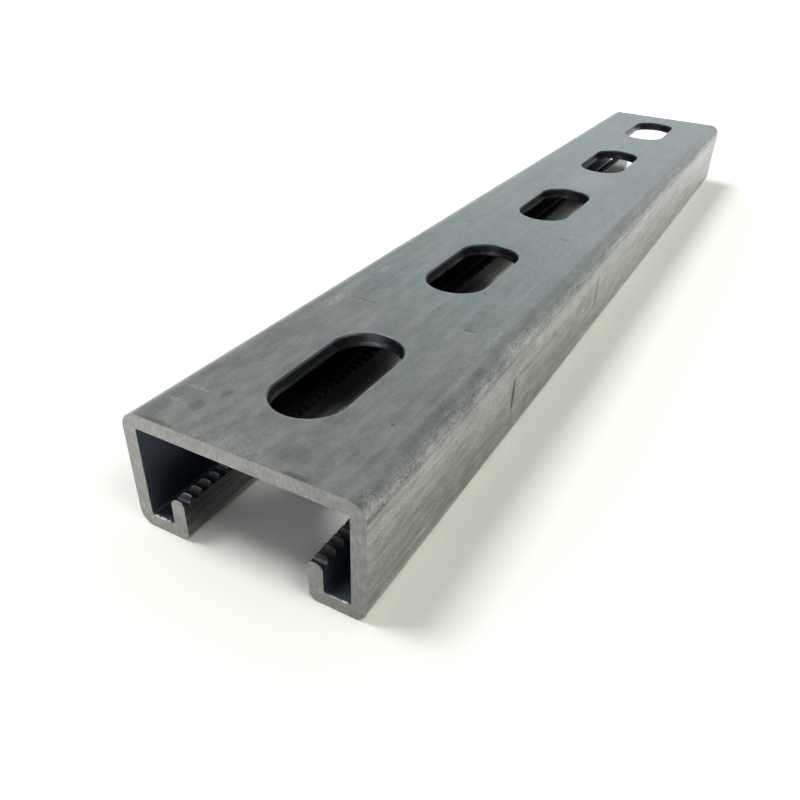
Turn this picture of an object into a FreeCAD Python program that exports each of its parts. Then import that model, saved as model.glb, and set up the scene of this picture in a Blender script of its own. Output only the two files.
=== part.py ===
# A slotted strut channel with notched lips, roll-formed from one zinc-coated steel strip.
#
# Sizes are in millimetres. X runs along the channel, Y across it and Z up. The channel
# lies on its two flanges with the slotted back up, and the origin is at the middle of
# its underside.

import FreeCAD, Part
import Sketcher
import os

doc = FreeCAD.newDocument("StrutChannel")


# The driving sizes

sheet = doc.addObject("Spreadsheet::Sheet", "Sizes")

driving_sizes = [
    ("length", 250, "cut length of the channel"),
    ("width", 41, "over the two side walls"),
    ("height", 21, "from the flanges to the back"),
    ("wall", 2.5, "thickness of the strip"),
    ("mouth", 22, "clear width between the lips"),
    ("lip_height", 7.5, "from the underside to the notched edge of a lip"),
    ("back_bend_radius", 3, "outside of the bends between the back and the side walls"),
    ("flange_bend_radius", 2.5, "outside of the bends between the side walls and the flanges"),
    ("lip_bend_radius", 1.6, "outside of the bends from the flanges into the lips"),
    ("bend_root_radius", 0.4, "inside of all these bends"),
    ("lip_front_round", 0.9, "edge of a lip on the mouth side"),
    ("lip_rear_round", 1.2, "edge of a lip on the cavity side"),
    ("slot_length", 28, "end to end"),
    ("slot_width", 12.5, "across the slot"),
    ("slot_pitch", 50, "from slot to slot"),
    ("first_slot", 25, "from the near end to the centre of the first slot"),
    ("slot_rim_round", 0.4, "rolled edge where the punch went in"),
    ("notch_pitch", 2, "from notch to notch along a lip"),
    ("notch_radius", 0.85, "round floor of a notch"),
    ("notch_depth", 0.8, "below the edge of the lip"),
]

for row, (name, value, meaning) in enumerate(driving_sizes, start=1):
    sheet.set(f"A{row}", name)
    sheet.set(f"B{row}", str(value))
    sheet.set(f"C{row}", meaning)
    sheet.setAlias(f"B{row}", name)
doc.recompute()


def size(expression):
    """The number that an expression over the sheet gives."""
    return float(sheet.evalExpression(expression.replace("Sizes.", "")))


# The body, and how its sketches are placed and measured

body = doc.addObject("PartDesign::Body", "Channel")
body.Label = "strut_channel"


def origin_feature(role):
    """The plane or axis of the body's own origin that has this role."""
    for feature in body.Origin.OriginFeatures:
        if feature.Role == role:
            return feature
    raise ValueError(f"the body has no {role}")


def new_sketch(name, plane):
    sketch = body.newObject("Sketcher::SketchObject", name)
    sketch.AttachmentSupport = [(origin_feature(plane), "")]
    sketch.MapMode = "FlatFace"
    return sketch


def measure(sketch, kind, *where, by):
    """Constrain a length in a sketch to an expression over the sheet."""
    index = sketch.addConstraint(Sketcher.Constraint(kind, *where, size(by)))
    sketch.setExpression(f"Constraints[{index}]", by)


# The sketcher's own numbers for its two axes, and for the points of a line or an arc.
# A sketch's origin is the start of its level axis.
LEVEL_AXIS, UPRIGHT_AXIS = range(-1, -3, -1)
START, END, CENTRE = range(1, 4)
SKETCH_ORIGIN = (LEVEL_AXIS, START)


# The section: right half of the C, from the middle of the back round to the lip.
# Each side is level or upright and lies at a distance from the axis. Each has a
# corner of its own radius with the side that follows it.

half_section = [
    ("level", "Sizes.height", "Sizes.back_bend_radius"),
    ("upright", "Sizes.width / 2", "Sizes.flange_bend_radius"),
    ("level", "0", "Sizes.lip_bend_radius"),
    ("upright", "Sizes.mouth / 2", "Sizes.lip_front_round"),
    ("level", "Sizes.lip_height", "Sizes.lip_rear_round"),
    ("upright", "Sizes.mouth / 2 + Sizes.wall", "Sizes.bend_root_radius"),
    ("level", "Sizes.wall", "Sizes.bend_root_radius"),
    ("upright", "Sizes.width / 2 - Sizes.wall", "Sizes.bend_root_radius"),
    ("level", "Sizes.height - Sizes.wall", "0"),
    ("upright", "0", "0"),
]


def corner_between(side, following):
    """Where two sides would meet if the corner were sharp."""
    if side[0] == "level":
        return FreeCAD.Vector(size(following[1]), size(side[1]), 0)
    return FreeCAD.Vector(size(side[1]), size(following[1]), 0)


def draw_rounded_outline(sketch, sides):
    """Draw the sides as lines with an arc in each corner, and constrain them all."""
    count = len(sides)
    corners = [corner_between(side, sides[(index + 1) % count]) for index, side in enumerate(sides)]
    headings = [(corners[index] - corners[index - 1]).normalize() for index in range(count)]
    radii = [size(side[2]) for side in sides]

    for index, (direction, place, radius) in enumerate(sides):
        start = corners[index - 1] + headings[index] * radii[index - 1]
        end = corners[index] - headings[index] * radii[index]
        line = sketch.addGeometry(Part.LineSegment(start, end))
        if direction == "level":
            sketch.addConstraint(Sketcher.Constraint("Horizontal", line))
            axis, distance = LEVEL_AXIS, "DistanceY"
        else:
            sketch.addConstraint(Sketcher.Constraint("Vertical", line))
            axis, distance = UPRIGHT_AXIS, "DistanceX"
        if place == "0":
            sketch.addConstraint(Sketcher.Constraint("PointOnObject", line, START, axis))
        else:
            measure(sketch, distance, *SKETCH_ORIGIN, line, START, by=place)

    for index, (direction, place, radius) in enumerate(sides):
        following = (index + 1) % count
        if radius == "0":
            sketch.addConstraint(Sketcher.Constraint("Coincident", index, END, following, START))
            continue
        heading_out = headings[following]
        start = corners[index] - headings[index] * radii[index]
        end = corners[index] + heading_out * radii[index]
        centre = start + heading_out * radii[index]
        middle = centre + (corners[index] - centre).normalize() * radii[index]
        arc = sketch.addGeometry(Part.Arc(start, middle, end))
        turns_left = headings[index].cross(heading_out).z > 0
        arc_start, arc_end = (START, END) if turns_left else (END, START)
        sketch.addConstraint(Sketcher.Constraint("Tangent", index, END, arc, arc_start))
        sketch.addConstraint(Sketcher.Constraint("Tangent", arc, arc_end, following, START))
        measure(sketch, "Radius", arc, by=radius)


section = new_sketch("HalfSection", "YZ_Plane")
draw_rounded_outline(section, half_section)

strip = body.newObject("PartDesign::Pad", "HalfStrip")
strip.Profile = section
strip.SideType = "Symmetric"
strip.setExpression("Length", "Sizes.length")

channel = body.newObject("PartDesign::Mirrored", "WholeChannel")
channel.Originals = [strip]
channel.MirrorPlane = (origin_feature("XZ_Plane"), [""])
body.Tip = channel
doc.recompute()


# The slots: punched through the back in one row, at a pitch from the near end

slot_outline = new_sketch("SlotOutline", "XY_Plane")
slot_outline.setExpression("AttachmentOffset.Base.x", "-Sizes.length / 2")
slot_outline.setExpression("AttachmentOffset.Base.z", "Sizes.height")

between_centres = "(Sizes.slot_length - Sizes.slot_width)"
near_centre = size(f"Sizes.first_slot - {between_centres} / 2")
far_centre = near_centre + size(between_centres)
slot_radius = size("Sizes.slot_width / 2")


def slot_end(centre_x, outward):
    """The half circle at one end of the slot, drawn anticlockwise."""
    return Part.Arc(
        FreeCAD.Vector(centre_x, -outward * slot_radius, 0),
        FreeCAD.Vector(centre_x + outward * slot_radius, 0, 0),
        FreeCAD.Vector(centre_x, outward * slot_radius, 0),
    )


def slot_side(from_x, to_x, side_y):
    return Part.LineSegment(FreeCAD.Vector(from_x, side_y, 0), FreeCAD.Vector(to_x, side_y, 0))


far_arc = slot_outline.addGeometry(slot_end(far_centre, 1))
left_side = slot_outline.addGeometry(slot_side(far_centre, near_centre, slot_radius))
near_arc = slot_outline.addGeometry(slot_end(near_centre, -1))
right_side = slot_outline.addGeometry(slot_side(near_centre, far_centre, -slot_radius))

ring = [far_arc, left_side, near_arc, right_side]
for piece, following in zip(ring, ring[1:] + ring[:1]):
    slot_outline.addConstraint(Sketcher.Constraint("Tangent", piece, END, following, START))
for arc in (near_arc, far_arc):
    slot_outline.addConstraint(Sketcher.Constraint("PointOnObject", arc, CENTRE, LEVEL_AXIS))
slot_outline.addConstraint(Sketcher.Constraint("Equal", near_arc, far_arc))
measure(slot_outline, "Radius", near_arc, by="Sizes.slot_width / 2")
measure(slot_outline, "DistanceX", *SKETCH_ORIGIN, near_arc, CENTRE,
        by=f"Sizes.first_slot - {between_centres} / 2")
measure(slot_outline, "DistanceX", near_arc, CENTRE, far_arc, CENTRE, by=between_centres)

slot = body.newObject("PartDesign::Pocket", "Slot")
slot.Profile = slot_outline
slot.setExpression("Length", "2 * Sizes.wall")

slots = body.newObject("PartDesign::LinearPattern", "Slots")
slots.Originals = [slot]
slots.Direction = (slot_outline, ["H_Axis"])
slots.Mode = "Spacing"
slots.setExpression("Offset", "Sizes.slot_pitch")
slots.setExpression(
    "Occurrences",
    "floor((Sizes.length - Sizes.first_slot - Sizes.slot_length / 2) / Sizes.slot_pitch) + 1",
)
body.Tip = slots
doc.recompute()


# The rolled edge round the top of each slot

def is_slot_rim(edge):
    """An edge lies round a slot if it is level with the back and inside its flat."""
    box = edge.BoundBox
    margin = 0.01
    at_back = box.ZMin > size("Sizes.height") - margin
    in_row = box.YMin > -slot_radius - margin and box.YMax < slot_radius + margin
    return at_back and in_row


rims = body.newObject("PartDesign::Fillet", "SlotRims")
rims.Base = (slots, [f"Edge{number}" for number, edge in enumerate(slots.Shape.Edges, start=1)
                     if is_slot_rim(edge)])
rims.setExpression("Radius", "Sizes.slot_rim_round")
body.Tip = rims
doc.recompute()


# The notches: one round cut across both lips, repeated from end to end. The cut ends
# midway between each lip and the side wall behind it.

notch_outline = new_sketch("NotchOutline", "XZ_Plane")
notch_outline.setExpression("AttachmentOffset.Base.x", "-Sizes.length / 2")
notch_centre = FreeCAD.Vector(
    size("Sizes.notch_pitch / 2"),
    size("Sizes.lip_height - Sizes.notch_depth + Sizes.notch_radius"),
    0,
)
notch_circle = notch_outline.addGeometry(
    Part.Circle(notch_centre, FreeCAD.Vector(0, 0, 1), size("Sizes.notch_radius")))
measure(notch_outline, "Radius", notch_circle, by="Sizes.notch_radius")
measure(notch_outline, "DistanceX", *SKETCH_ORIGIN, notch_circle, CENTRE, by="Sizes.notch_pitch / 2")
measure(notch_outline, "DistanceY", *SKETCH_ORIGIN, notch_circle, CENTRE,
        by="Sizes.lip_height - Sizes.notch_depth + Sizes.notch_radius")

notch = body.newObject("PartDesign::Pocket", "Notch")
notch.Profile = notch_outline
notch.SideType = "Symmetric"
notch.setExpression("Length", "(Sizes.mouth + Sizes.width) / 2")

notches = body.newObject("PartDesign::LinearPattern", "Notches")
notches.Originals = [notch]
notches.Direction = (notch_outline, ["H_Axis"])
notches.Mode = "Spacing"
notches.setExpression("Offset", "Sizes.notch_pitch")
notches.setExpression("Occurrences", "floor(Sizes.length / Sizes.notch_pitch)")
body.Tip = notches
doc.recompute()


# What has to hold before anything is written

for thing in doc.Objects:
    if "Invalid" in thing.State or "Error" in thing.State:
        raise RuntimeError(f"{thing.Label} failed: {thing.State}")

for sketch in (section, slot_outline, notch_outline):
    if sketch.solve() != 0 or not sketch.FullyConstrained:
        raise RuntimeError(f"{sketch.Label} is not fully constrained")

for earlier, later in ((channel, slots), (slots, rims), (rims, notches)):
    if later.Shape.Volume >= earlier.Shape.Volume:
        raise RuntimeError(f"{later.Label} took nothing off")

if body.Shape.isNull() or not body.Shape.isValid() or len(body.Shape.Solids) != 1:
    raise RuntimeError("the channel is not one valid solid")

os.makedirs("parts", exist_ok=True)
body.Shape.exportStep(f"parts/{body.Label}.step")

box = body.Shape.BoundBox
print(f"{body.Label}: {box.XLength:.3f} x {box.YLength:.3f} x {box.ZLength:.3f} mm,",
      f"{body.Shape.Volume:.1f} cubic mm,", len(body.Shape.Faces), "faces")
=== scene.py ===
"""A length of slotted strut channel, lying on a white sheet with its slotted back up."""

import math

import bmesh
import bpy
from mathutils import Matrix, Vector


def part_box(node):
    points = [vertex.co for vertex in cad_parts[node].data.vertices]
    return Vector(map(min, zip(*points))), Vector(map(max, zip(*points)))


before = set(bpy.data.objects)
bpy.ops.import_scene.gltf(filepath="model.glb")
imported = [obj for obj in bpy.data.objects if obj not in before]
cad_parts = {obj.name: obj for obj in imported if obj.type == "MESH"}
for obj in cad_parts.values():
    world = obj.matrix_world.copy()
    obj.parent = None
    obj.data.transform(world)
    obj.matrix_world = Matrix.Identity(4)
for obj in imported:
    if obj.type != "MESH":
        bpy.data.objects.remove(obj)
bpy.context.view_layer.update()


# The channel
# One length of steel strip, zinc coated in the coil, then punched with slots, notched along both
# edges, roll-formed into a C and sawn to length. It is one piece with one material, in which the
# rolled skin, the cavity, the sawn ends and the slot walls differ.

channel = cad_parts["strut_channel"]
near_corner, far_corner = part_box("strut_channel")
millimetre = 0.001
near_end = near_corner.x / millimetre
far_end = far_corner.x / millimetre

zinc_surface = bpy.data.materials.new("zinc_coated_strip")
zinc_surface.use_nodes = True
tree = zinc_surface.node_tree
tree.nodes.clear()


def add_node(tree, kind, inputs, output=0, **settings):
    """Add a node, feed its inputs with numbers or other nodes' outputs, and return one output."""
    node = tree.nodes.new(kind)
    for setting, value in settings.items():
        setattr(node, setting, value)
    for socket, value in inputs.items():
        if isinstance(value, bpy.types.NodeSocket):
            tree.links.new(value, node.inputs[socket])
        else:
            node.inputs[socket].default_value = value
    return node.outputs[output]


def split(tree, vector):
    """The X, Y and Z of a vector."""
    node = add_node(tree, "ShaderNodeSeparateXYZ", {"Vector": vector}).node
    return node.outputs["X"], node.outputs["Y"], node.outputs["Z"]


def scale(tree, vector, factor):
    """A place or a colour, times a factor."""
    inputs = {0: vector, "Scale": factor}
    return add_node(tree, "ShaderNodeVectorMath", inputs, operation="SCALE")


def calculate(tree, operation, *values):
    return add_node(tree, "ShaderNodeMath", dict(enumerate(values)), operation=operation)


def product(tree, first, *others):
    for other in others:
        first = calculate(tree, "MULTIPLY", first, other)
    return first


def add_share(tree, start, share, amount):
    """The start, plus this amount where the share is 1."""
    return calculate(tree, "ADD", start, product(tree, share, amount))


def ramp(tree, value, start, end):
    """Rise smoothly from 0 at start to 1 at end, or fall where start is the larger."""
    inputs = {"Value": value, "From Min": start, "From Max": end}
    return add_node(tree, "ShaderNodeMapRange", inputs, interpolation_type="SMOOTHSTEP")


def blend_colours(tree, share, first, second):
    inputs = {"Factor": share, "A": first, "B": second}
    return add_node(tree, "ShaderNodeMix", inputs, output=2, data_type="RGBA")


def blend_values(tree, share, first, second):
    inputs = {"Factor": share, "A": first, "B": second}
    return add_node(tree, "ShaderNodeMix", inputs, data_type="FLOAT")


def stretched_grain(tree, place, grain, detail):
    """Noise whose grains have this length, width and height in millimetres."""
    scaled = add_node(tree, "ShaderNodeVectorMath", {0: place, 1: grain}, operation="DIVIDE")
    inputs = {"Vector": scaled, "Scale": 1.0, "Detail": detail, "Roughness": 0.6}
    return add_node(tree, "ShaderNodeTexNoise", inputs)


coordinates = tree.nodes.new("ShaderNodeTexCoord").outputs
place = scale(tree, coordinates["Object"], 1 / millimetre)
along, across, above = split(tree, place)
distance_along = calculate(tree, "ABSOLUTE", along)
distance_across = calculate(tree, "ABSOLUTE", across)
facing_along, facing_across, facing_up = split(tree, coordinates["Normal"])
facing_end = calculate(tree, "ABSOLUTE", facing_along)
facing_side = calculate(tree, "ABSOLUTE", facing_across)

# The rolled skin: zinc without spangle. Clouds, mottling, bands, streaks and hairlines, drawn out
# along the channel by the rolls, and a fine grain each make it lighter or darker. The side walls
# ran against the rolls harder than the back did, so they show most of these more strongly. Each
# pattern has the size of its grains, its detail, and its strength on the back and on the sides.

warm_zinc = (0.370, 0.377, 0.355, 1.0)
cool_zinc = (0.346, 0.373, 0.372, 1.0)
middle_tone = 1.05
middle_grey = 0.5
skin_patterns = {
    "clouds": ((14.0, 8.0, 8.0), 4.0, 0.3, 0.3),
    "mottling": ((4.4, 2.0, 2.0), 4.0, 0.7, 1.1),
    "bands": ((70.0, 2.6, 2.6), 2.0, 0.3, 0.3),
    "streaks": ((17.0, 0.85, 0.85), 3.0, 0.2, 0.75),
    "lines": ((30.0, 0.22, 0.22), 2.0, 0.16, 0.34),
    "speckle": ((0.5, 0.36, 0.36), 2.0, 0.5, 0.95),
}

tone = middle_tone
patterns = {}
for name, (grain, detail, back_strength, side_strength) in skin_patterns.items():
    patterns[name] = stretched_grain(tree, place, grain, detail)
    strength = blend_values(tree, facing_side, back_strength, side_strength)
    departure = calculate(tree, "SUBTRACT", patterns[name], middle_grey)
    tone = add_share(tree, tone, departure, strength)

# As painted shade, the sides are darker than the back, a little less so above 13.7 mm, and the
# bend of the back is darker. The foot is much lighter. As a painted reflection, the far part of
# the sides is paler. Here and below, a pair of numbers called a range says where something starts
# to show and where it shows in full.

upper_sides_range = (13.5, 13.9)
bend_lower_range = (17.4, 18.2)
bend_upper_range = (20.6, 19.4)
foot_lower_range = (0.2, 0.9)
foot_upper_range = (2.6, 2.0)
below_bend_range = (19.6, 18.6)
far_reflection_range = (-55.0, 5.0)

upper_sides = product(tree, facing_side, ramp(tree, above, *upper_sides_range))
shaded_bend = product(
    tree, ramp(tree, above, *bend_lower_range), ramp(tree, above, *bend_upper_range)
)
lighter_foot = product(
    tree, ramp(tree, above, *foot_upper_range), ramp(tree, above, *foot_lower_range)
)
far_reflection = product(tree, ramp(tree, above, *below_bend_range), ramp(tree, along, *far_reflection_range))
tone_changes = [
    (facing_side, -0.2),
    (upper_sides, 0.08),
    (shaded_bend, -0.34),
    (lighter_foot, 0.85),
    (far_reflection, 0.19),
]
for share, change in tone_changes:
    tone = add_share(tree, tone, share, change)

# The tint runs from a warm grey to a cooler one in patches, the zinc's own, and, as a painted
# reflection, grows cooler away from the near end and stays warm on the sides, which mirror the
# sheet.

tint_grain = (13.0, 6.0, 6.0)
tint_detail = 3.0
tint_patch_range = (0.3, 0.7)
tint_patch_share = 0.6
cool_from = -60.0
cool_far_reflection_share = 0.4
warm_side_reflection_share = 0.85

tint_patches = stretched_grain(tree, place, tint_grain, tint_detail)
cool_patch_and_reflection_share = product(tree, ramp(tree, tint_patches, *tint_patch_range), tint_patch_share)
cool_patch_and_reflection_share = add_share(tree, cool_patch_and_reflection_share, ramp(tree, along, near_end, cool_from), cool_far_reflection_share)
cool_patch_and_reflection_share = product(tree, cool_patch_and_reflection_share, add_share(tree, 1.0, facing_side, -warm_side_reflection_share))
zinc = blend_colours(tree, cool_patch_and_reflection_share, warm_zinc, cool_zinc)
skin_colour = scale(tree, zinc, tone)

smoothest_skin = 0.36
mottling_roughness = 0.16
line_height = 0.006
speckle_height = 0.007

skin_roughness = add_share(tree, smoothest_skin, patterns["mottling"], mottling_roughness)
skin_height = add_share(
    tree, product(tree, patterns["lines"], line_height), patterns["speckle"], speckle_height
)

# The marks that handling and the feed rolls left are ovals with a ragged edge. For each stand its
# place and how far it reaches, both in millimetres, and how strongly it shows.

pale_zinc_and_highlight = (0.60, 0.61, 0.60, 1.0)
dark_zinc = (0.17, 0.175, 0.17, 1.0)
scratch_black = (0.03, 0.03, 0.03, 1.0)
pale_marks = [
    ((-75.0, 15.6, 21.0), (14.0, 1.0, 1.0), 0.5),
    ((-78.5, 15.1, 21.0), (5.0, 1.3, 1.0), 1.0),
    ((-61.0, 14.7, 21.0), (3.0, 0.8, 1.0), 0.9),
    ((-119.0, 15.8, 21.0), (0.7, 2.0, 1.0), 0.8),
    ((-115.0, 14.5, 21.0), (0.6, 3.0, 1.0), 0.8),
    ((-76.3, 10.5, 21.0), (0.5, 3.6, 1.0), 0.3),
    ((-77.0, -10.5, 21.0), (0.9, 3.0, 1.0), 0.35),
    ((-26.5, 9.5, 21.0), (0.6, 3.0, 1.0), 0.2),
    ((-26.5, -10.0, 21.0), (0.6, 2.8, 1.0), 0.2),
    ((22.5, -9.5, 21.0), (0.7, 3.0, 1.0), 0.2),
    ((-76.5, -19.3, 20.2), (8.0, 1.0, 1.2), 0.7),
    ((-78.0, -16.4, 21.0), (9.0, 0.9, 1.0), 0.55),
    ((-92.0, -17.4, 21.0), (14.0, 0.8, 1.0), 0.35),
    ((-58.0, -14.2, 21.0), (12.0, 0.7, 1.0), 0.35),
    ((-84.0, 7.6, 21.0), (10.0, 0.7, 1.0), 0.3),
    ((-15.0, -13.5, 21.0), (48.0, 7.0, 1.0), 0.22),
    ((25.0, -2.0, 21.0), (12.0, 8.0, 1.0), 0.35),
    ((-122.8, -19.0, 20.4), (2.0, 1.3, 1.2), 0.6),
    ((-113.0, 15.5, 21.0), (3.0, 1.4, 1.0), 0.4),
    ((-123.2, 2.0, 21.0), (2.8, 9.0, 1.0), 0.35),
    ((-69.0, -2.0, 21.0), (9.0, 0.7, 1.0), 0.3),
    ((-76.0, -9.0, 21.0), (15.0, 0.6, 1.0), 0.3),
    ((-66.0, 5.5, 21.0), (6.0, 0.5, 1.0), 0.25),
    ((-118.0, -20.5, 15.0), (9.0, 1.0, 1.2), 0.3),
    ((-52.0, -20.5, 14.6), (24.0, 1.0, 0.8), 0.3),
    ((-85.0, -20.5, 12.5), (11.0, 1.0, 4.5), 0.25),
    ((-28.2, -20.5, 12.3), (2.0, 1.0, 2.8), 0.3),
]
dark_marks = [
    ((-124.6, 13.5, 21.0), (0.8, 3.0, 1.0), 0.6),
    ((-124.6, -9.5, 21.0), (0.8, 3.0, 1.0), 0.7),
    ((-75.8, 10.2, 21.0), (0.5, 4.4, 1.0), 0.4),
    ((-118.5, 12.0, 21.0), (2.0, 1.4, 1.0), 0.45),
    ((-114.0, 10.5, 21.0), (1.3, 1.0, 1.0), 0.4),
    ((-121.0, -6.0, 21.0), (3.0, 4.0, 1.0), 0.25),
    ((-76.5, -11.5, 21.0), (0.6, 1.6, 1.0), 0.5),
    ((-24.0, -10.6, 21.0), (0.8, 1.8, 1.0), 0.45),
    ((-25.0, 12.5, 21.0), (1.6, 1.6, 1.0), 0.3),
    ((-61.0, -7.4, 21.0), (0.5, 0.4, 1.0), 0.8),
    ((-108.2, -14.4, 21.0), (0.5, 0.45, 1.0), 0.8),
    ((-93.0, -20.5, 4.0), (38.0, 1.0, 0.2), 0.5),
    ((-90.0, -20.5, 3.3), (36.0, 1.0, 0.18), 0.5),
    ((-75.0, -20.5, 5.2), (50.0, 1.0, 0.3), 0.3),
]
scratches = [
    ((-75.7, -20.5, 10.3), (0.8, 1.0, 4.6), 0.95),
    ((-25.8, -20.5, 10.8), (1.8, 1.0, 4.8), 0.35),
    ((23.0, -20.5, 12.0), (0.7, 1.0, 2.2), 0.25),
]
ragged_grain = (0.6, 0.4, 0.4)
ragged_detail = 4.0
raggedness = 1.6
mark_edge_range = (1.8, 1.2)
smooth_share = 0.25
grain_share = 0.75
grain_range = (0.42, 0.6)


def mark_share(tree, place, marks):
    """How strongly the strongest of the marks shows at each place."""
    ragged_edge = stretched_grain(tree, place, ragged_grain, ragged_detail)
    strongest = 0.0
    for middle, reach, strength in marks:
        apart = add_node(tree, "ShaderNodeVectorMath", {0: place, 1: middle}, operation="SUBTRACT")
        apart = add_node(tree, "ShaderNodeVectorMath", {0: apart, 1: reach}, operation="DIVIDE")
        distance = add_node(
            tree, "ShaderNodeVectorMath", {0: apart}, output=1, operation="LENGTH"
        )
        distance = add_share(tree, distance, ragged_edge, raggedness)
        share = product(tree, ramp(tree, distance, *mark_edge_range), strength)
        strongest = calculate(tree, "MAXIMUM", strongest, share)
    return strongest


rubbed_grains = add_share(
    tree, smooth_share, ramp(tree, patterns["speckle"], *grain_range), grain_share
)
pale_share = product(tree, mark_share(tree, place, pale_marks), rubbed_grains)
skin_colour = blend_colours(tree, pale_share, skin_colour, pale_zinc_and_highlight)
skin_colour = blend_colours(tree, mark_share(tree, place, dark_marks), skin_colour, dark_zinc)
skin_colour = blend_colours(tree, mark_share(tree, place, scratches), skin_colour, scratch_black)

# The cavity: the same zinc, painted darker and bluer as painted shade, most of all deep inside,
# and darkest in the notches. The lips' faces towards the mouth are streaked, and lighter near
# their foot and near the ends, as painted light. Near the ends of the left lip the crests between
# the notches carry a painted highlight.

shaded_cavity_zinc = (0.13, 0.165, 0.215, 1.0)
deep_shade_zinc = (0.03, 0.04, 0.06, 1.0)
mouth_face_lit_foot = (0.18, 0.182, 0.17, 1.0)
mouth_face_high = (0.12, 0.122, 0.12, 1.0)
mouth_face_deep_shade = (0.02, 0.024, 0.032, 1.0)
shaded_notch_grey = (0.06, 0.062, 0.07, 1.0)
inside_wall_range = (18.4, 18.2)
below_roof_range = (18.9, 18.7)
above_flange_range = (2.0, 2.3)
deep_range = (113.0, 99.0)
mouth_side_range = (12.0, 11.7)
below_notches_range = (6.8, 6.6)
above_notches_range = (6.6, 6.8)
lip_width_range = (13.9, 13.6)
lip_top_range = (8.0, 7.6)
crest_range = (7.2, 7.3)
level_range = (0.6, 0.9)
left_lip_range = (-1.0, 1.0)
mouth_face_range = (1.6, 4.4)
streak_range = (0.35, 0.65)
darkest_streak = 0.55
streak_gain = 0.95
cavity_shade_share = 0.9
crest_highlight_metal_drop = 0.85

on_mouth_side = ramp(tree, distance_across, *mouth_side_range)
above_flanges = calculate(tree, "MAXIMUM", ramp(tree, above, *above_flange_range), on_mouth_side)
inside = product(
    tree, ramp(tree, distance_across, *inside_wall_range), ramp(tree, above, *below_roof_range),
    above_flanges,
)
deep = ramp(tree, distance_along, *deep_range)
below_lip_top = ramp(tree, above, *lip_top_range)
on_mouth_face = product(tree, on_mouth_side, ramp(tree, above, *below_notches_range))
on_notches = product(
    tree, ramp(tree, distance_across, *lip_width_range), ramp(tree, above, *above_notches_range),
    below_lip_top,
)
# Painted highlight on the left lip's crests near the ends: paler and less metallic.
crest_highlight = product(
    tree, ramp(tree, facing_up, *level_range), ramp(tree, above, *crest_range), below_lip_top,
    calculate(tree, "SUBTRACT", 1.0, deep), ramp(tree, across, *left_lip_range),
)

# Painted light: the mouth faces are lighter at the foot and near the ends, and painted shade
# darkens them deep inside.
mouth_face_upper = blend_colours(tree, deep, mouth_face_high, mouth_face_deep_shade)
mouth_face_colour = blend_colours(
    tree, ramp(tree, above, *mouth_face_range), mouth_face_lit_foot, mouth_face_upper
)
mouth_face_tone = add_share(
    tree, darkest_streak, ramp(tree, patterns["streaks"], *streak_range), streak_gain
)
mouth_face_colour = scale(tree, mouth_face_colour, mouth_face_tone)
notch_colour = blend_colours(tree, deep, shaded_notch_grey, mouth_face_deep_shade)
inside_colour = blend_colours(tree, deep, shaded_cavity_zinc, deep_shade_zinc)
inside_colour = blend_colours(tree, on_mouth_face, inside_colour, mouth_face_colour)
inside_colour = blend_colours(tree, on_notches, inside_colour, notch_colour)
inside_colour = blend_colours(tree, crest_highlight, inside_colour, pale_zinc_and_highlight)
colour = blend_colours(tree, product(tree, inside, cavity_shade_share), skin_colour, inside_colour)
metallic = add_share(tree, 1.0, crest_highlight, -crest_highlight_metal_drop)

# The sawn ends: bare, a little warmer, darker towards the right, with the streaks and blotches
# that the blade left.

sawn_cool = (0.26, 0.26, 0.252, 1.0)
sawn_pale = (0.41, 0.408, 0.39, 1.0)
saw_streak_grain = (1.0, 0.45, 1.6)
saw_blotch_grain = (2.0, 2.2, 1.3)
saw_detail = 5.0
saw_streak_range = (0.25, 0.75)
saw_blotch_range = (0.25, 0.65)
right_half_range = (-20.0, 0.0)
right_tone = 0.80
left_gain = 0.20
saw_height = 0.03
facing_end_range = (0.8, 0.95)
end_face_range = (far_end - 0.1, far_end - 0.02)

saw_streaks = stretched_grain(tree, place, saw_streak_grain, saw_detail)
saw_blotches = stretched_grain(tree, place, saw_blotch_grain, saw_detail)
pale_saw_share = product(
    tree, ramp(tree, saw_streaks, *saw_streak_range), ramp(tree, saw_blotches, *saw_blotch_range)
)
sawn_colour = blend_colours(tree, pale_saw_share, sawn_cool, sawn_pale)
sawn_tone = add_share(tree, right_tone, ramp(tree, across, *right_half_range), left_gain)
sawn_colour = scale(tree, sawn_colour, sawn_tone)
sawn_height = product(tree, saw_streaks, saw_height)
on_sawn_end = product(
    tree, ramp(tree, facing_end, *facing_end_range), ramp(tree, distance_along, *end_face_range)
)
colour = blend_colours(tree, on_sawn_end, colour, sawn_colour)

# A painted highlight on the burr that the saw left at the near end, along the edges of the floors
# behind the lips.

burr_highlight_white = (0.92, 0.92, 0.92, 1.0)
burr_highlights = [
    ((near_end, 17.1, 2.5), (0.32, 0.6, 0.3), 1.0),
    ((near_end, 15.9, 2.5), (0.32, 0.85, 0.3), 1.0),
    ((near_end, 14.7, 2.5), (0.32, 0.4, 0.3), 1.0),
    ((near_end, -17.0, 2.5), (0.26, 0.7, 0.3), 1.0),
    ((near_end, -15.4, 2.5), (0.22, 1.6, 0.25), 0.5),
]

on_burr_highlight = mark_share(tree, place, burr_highlights)
colour = blend_colours(tree, on_burr_highlight, colour, burr_highlight_white)
metallic = product(tree, metallic, calculate(tree, "SUBTRACT", 1.0, on_burr_highlight))

# The punched slots: the distance from the nearest slot's outline tells where their walls and rims
# are. A wall is burnished by the punch at the top and torn near the bottom edge.

slot_pitch = 50.0
slot_half_width = 6.25
slot_half_straight = 7.75
burnished_steel = (0.10, 0.11, 0.13, 1.0)
torn_steel = (0.27, 0.28, 0.285, 1.0)
torn_upper_range = (19.5, 19.2)
torn_lower_range = (18.6, 18.8)
torn_mottling_range = (0.3, 0.6)
slot_wall_range = (0.35, 0.15)
slot_depth_range = (18.3, 18.5)
rim_range = (0.9, 0.5)
rim_height_range = (20.4, 20.8)
rim_paleness = 0.15

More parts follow.
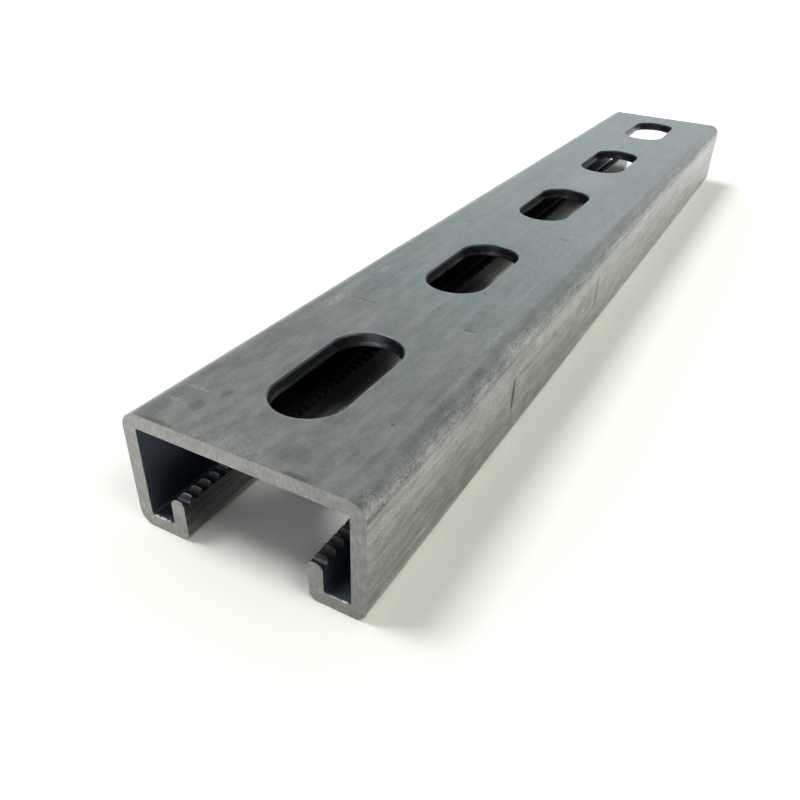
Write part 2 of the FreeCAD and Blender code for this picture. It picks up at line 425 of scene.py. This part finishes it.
beside_slot = calculate(tree, "WRAP", along, slot_pitch / 2, -slot_pitch / 2)
beyond_straight = calculate(
    tree, "SUBTRACT", calculate(tree, "ABSOLUTE", beside_slot), slot_half_straight
)
beyond_straight = calculate(tree, "MAXIMUM", beyond_straight, 0.0)
squares = calculate(
    tree, "ADD", calculate(tree, "POWER", beyond_straight, 2.0),
    calculate(tree, "POWER", distance_across, 2.0),
)
from_slot = calculate(tree, "SUBTRACT", calculate(tree, "SQRT", squares), slot_half_width)
torn = product(
    tree, ramp(tree, above, *torn_upper_range), ramp(tree, above, *torn_lower_range),
    ramp(tree, patterns["mottling"], *torn_mottling_range),
)
slot_wall_colour = blend_colours(tree, torn, burnished_steel, torn_steel)
on_slot_wall = product(
    tree, ramp(tree, from_slot, *slot_wall_range), ramp(tree, above, *slot_depth_range)
)
pale_rim = product(
    tree, ramp(tree, from_slot, *rim_range), ramp(tree, above, *rim_height_range), rim_paleness
)
colour = blend_colours(tree, pale_rim, colour, pale_zinc_and_highlight)
colour = blend_colours(tree, on_slot_wall, colour, slot_wall_colour)

cavity_roughness = 0.52
mouth_face_roughness = 0.22
sawn_roughness = 0.5
slot_wall_roughness = 0.4

roughness = blend_values(tree, inside, skin_roughness, cavity_roughness)
roughness = blend_values(
    tree, product(tree, inside, on_mouth_face), roughness, mouth_face_roughness
)
roughness = blend_values(tree, on_sawn_end, roughness, sawn_roughness)
roughness = blend_values(tree, on_slot_wall, roughness, slot_wall_roughness)
height = blend_values(tree, on_sawn_end, skin_height, sawn_height)
relief = add_node(
    tree, "ShaderNodeBump", {"Height": height, "Strength": 1.0, "Distance": millimetre}
)
surface = add_node(
    tree, "ShaderNodeBsdfPrincipled",
    {"Base Color": colour, "Metallic": metallic, "Roughness": roughness, "Normal": relief},
)
output = tree.nodes.new("ShaderNodeOutputMaterial")
tree.links.new(surface, output.inputs["Surface"])
channel.material_slots[0].material = zinc_surface


# The sheet
# A matt white sheet of paper, wide enough to fill the view, that the channel lies on. As seen, it
# is painted brighter away from the channel, as painted light, and warmer near it, as a painted
# shade tint.

sheet_reach = 1.6
paper_white = (0.92, 0.92, 0.87, 1.0)
seen_white = (1.22, 1.22, 1.16, 1.0)
seen_open_white = (1.6, 1.6, 1.6, 1.0)
seen_edge_white = (2.3, 2.3, 2.3, 1.0)
shadow_reach = (0.16, 0.055, 1.0)
squareness = 4.0
open_range = (0.76, 1.12)
edge_range = (5.0, 10.0)

sheet_mesh = bmesh.new()
bmesh.ops.create_grid(sheet_mesh, x_segments=1, y_segments=1, size=sheet_reach)
sheet_data = bpy.data.meshes.new("white_sheet")
sheet_mesh.to_mesh(sheet_data)
sheet_mesh.free()
white_sheet = bpy.data.objects.new("white_sheet", sheet_data)
bpy.context.scene.collection.objects.link(white_sheet)

paper = bpy.data.materials.new("white_paper")
paper.use_nodes = True
tree = paper.node_tree
tree.nodes.clear()
light_path = tree.nodes.new("ShaderNodeLightPath").outputs
seen = calculate(tree, "MAXIMUM", light_path["Is Camera Ray"], light_path["Is Glossy Ray"])
seen = calculate(tree, "MAXIMUM", seen, light_path["Is Transmission Ray"])
on_sheet = tree.nodes.new("ShaderNodeTexCoord").outputs["Object"]
on_sheet = add_node(
    tree, "ShaderNodeVectorMath", {0: on_sheet, 1: shadow_reach}, operation="DIVIDE"
)
sheet_along, sheet_across = split(tree, on_sheet)[:2]
from_channel = calculate(
    tree, "ADD", calculate(tree, "POWER", sheet_along, squareness),
    calculate(tree, "POWER", sheet_across, squareness),
)
from_channel = calculate(tree, "POWER", from_channel, 1 / squareness)
seen_colour = blend_colours(
    tree, ramp(tree, from_channel, *open_range), seen_white, seen_open_white
)
seen_colour = blend_colours(
    tree, ramp(tree, from_channel, *edge_range), seen_colour, seen_edge_white
)
paper_colour = blend_colours(tree, seen, paper_white, seen_colour)
surface = add_node(tree, "ShaderNodeBsdfDiffuse", {"Color": paper_colour})
output = tree.nodes.new("ShaderNodeOutputMaterial")
tree.links.new(surface, output.inputs["Surface"])
sheet_data.materials.append(paper)


# The light tent
# White cloth all round, brightest just above the sheet: bluish behind the far end, and dimmer in
# front, where it is further off. One lamp stands high on the left and a little to the front, and a
# weaker, warmer one opposite it on the right.

back_low = (1.5, 1.68, 1.76, 1.0)
back_left = (0.6, 0.61, 0.6, 1.0)
back_right = (0.62, 0.64, 0.65, 1.0)
back_high = (0.275, 0.298, 0.296, 1.0)
back_horizon = (2.6, 2.65, 2.7, 1.0)
front_low = (0.65, 0.65, 0.63, 1.0)
front_high = (0.2, 0.2, 0.2, 1.0)
front_horizon = (1.3, 1.3, 1.28, 1.0)
left_range = (0.35, 0.75)
right_range = (-0.05, -0.45)
high_range = (0.12, 0.53)
horizon_range = (0.1, 0.0)
back_range = (-0.5, 0.6)

world = bpy.data.worlds.new("light_tent")
world.use_nodes = True
tree = world.node_tree
tree.nodes.clear()
direction = tree.nodes.new("ShaderNodeTexCoord").outputs["Generated"]
ahead, sideways, rise = split(tree, direction)
high = ramp(tree, rise, *high_range)
near_horizon = ramp(tree, rise, *horizon_range)
low_colour = blend_colours(tree, ramp(tree, sideways, *left_range), back_low, back_left)
low_colour = blend_colours(tree, ramp(tree, sideways, *right_range), low_colour, back_right)
back_colour = blend_colours(tree, high, low_colour, back_high)
back_colour = blend_colours(tree, near_horizon, back_colour, back_horizon)
front_colour = blend_colours(tree, high, front_low, front_high)
front_colour = blend_colours(tree, near_horizon, front_colour, front_horizon)
tent_colour = blend_colours(tree, ramp(tree, ahead, *back_range), front_colour, back_colour)
background = add_node(tree, "ShaderNodeBackground", {"Color": tent_colour, "Strength": 1.0})
output = tree.nodes.new("ShaderNodeOutputWorld")
tree.links.new(background, output.inputs["Surface"])
bpy.context.scene.world = world

# For each lamp stand its place and its width in metres, its power in watts and its tint.

lamps = [
    ("left_lamp", (-0.378, 1.405, 2.625), 1.05, 41.0, (1.0, 1.0, 0.99)),
    ("right_lamp", (-0.43, -1.67, 2.455), 1.02, 19.0, (1.0, 0.99, 0.87)),
]
for name, location, width, power, tint in lamps:
    lamp_data = bpy.data.lights.new(name, "AREA")
    lamp_data.size = width
    lamp_data.energy = power
    lamp_data.color = tint
    lamp = bpy.data.objects.new(name, lamp_data)
    lamp.location = location
    lamp.rotation_euler = (-lamp.location).to_track_quat("-Z", "Y").to_euler()
    bpy.context.scene.collection.objects.link(lamp)


# The camera
# Close above the near end and to its right, looking along the channel and down at its back. The
# focal length and the middle of the view are in pixels of the square picture.

picture_size = 800
focal_length = 738.022
middle_across = 427.26
middle_down = 407.276
sensor_width = 36.0
nearest_seen = 0.005
camera_place = (-0.182602, -0.056104, 0.080303)
camera_angles = (56.60286, -2.60612, -62.14158)

camera_data = bpy.data.cameras.new("camera")
camera_data.sensor_width = sensor_width
camera_data.lens = focal_length / picture_size * sensor_width
camera_data.shift_x = (picture_size / 2 - middle_across) / picture_size
camera_data.shift_y = (middle_down - picture_size / 2) / picture_size
camera_data.clip_start = nearest_seen
camera = bpy.data.objects.new("camera", camera_data)
camera.location = camera_place
camera.rotation_euler = [math.radians(angle) for angle in camera_angles]
bpy.context.scene.collection.objects.link(camera)
bpy.context.scene.camera = camera
bpy.context.scene.view_settings.view_transform = "Standard"
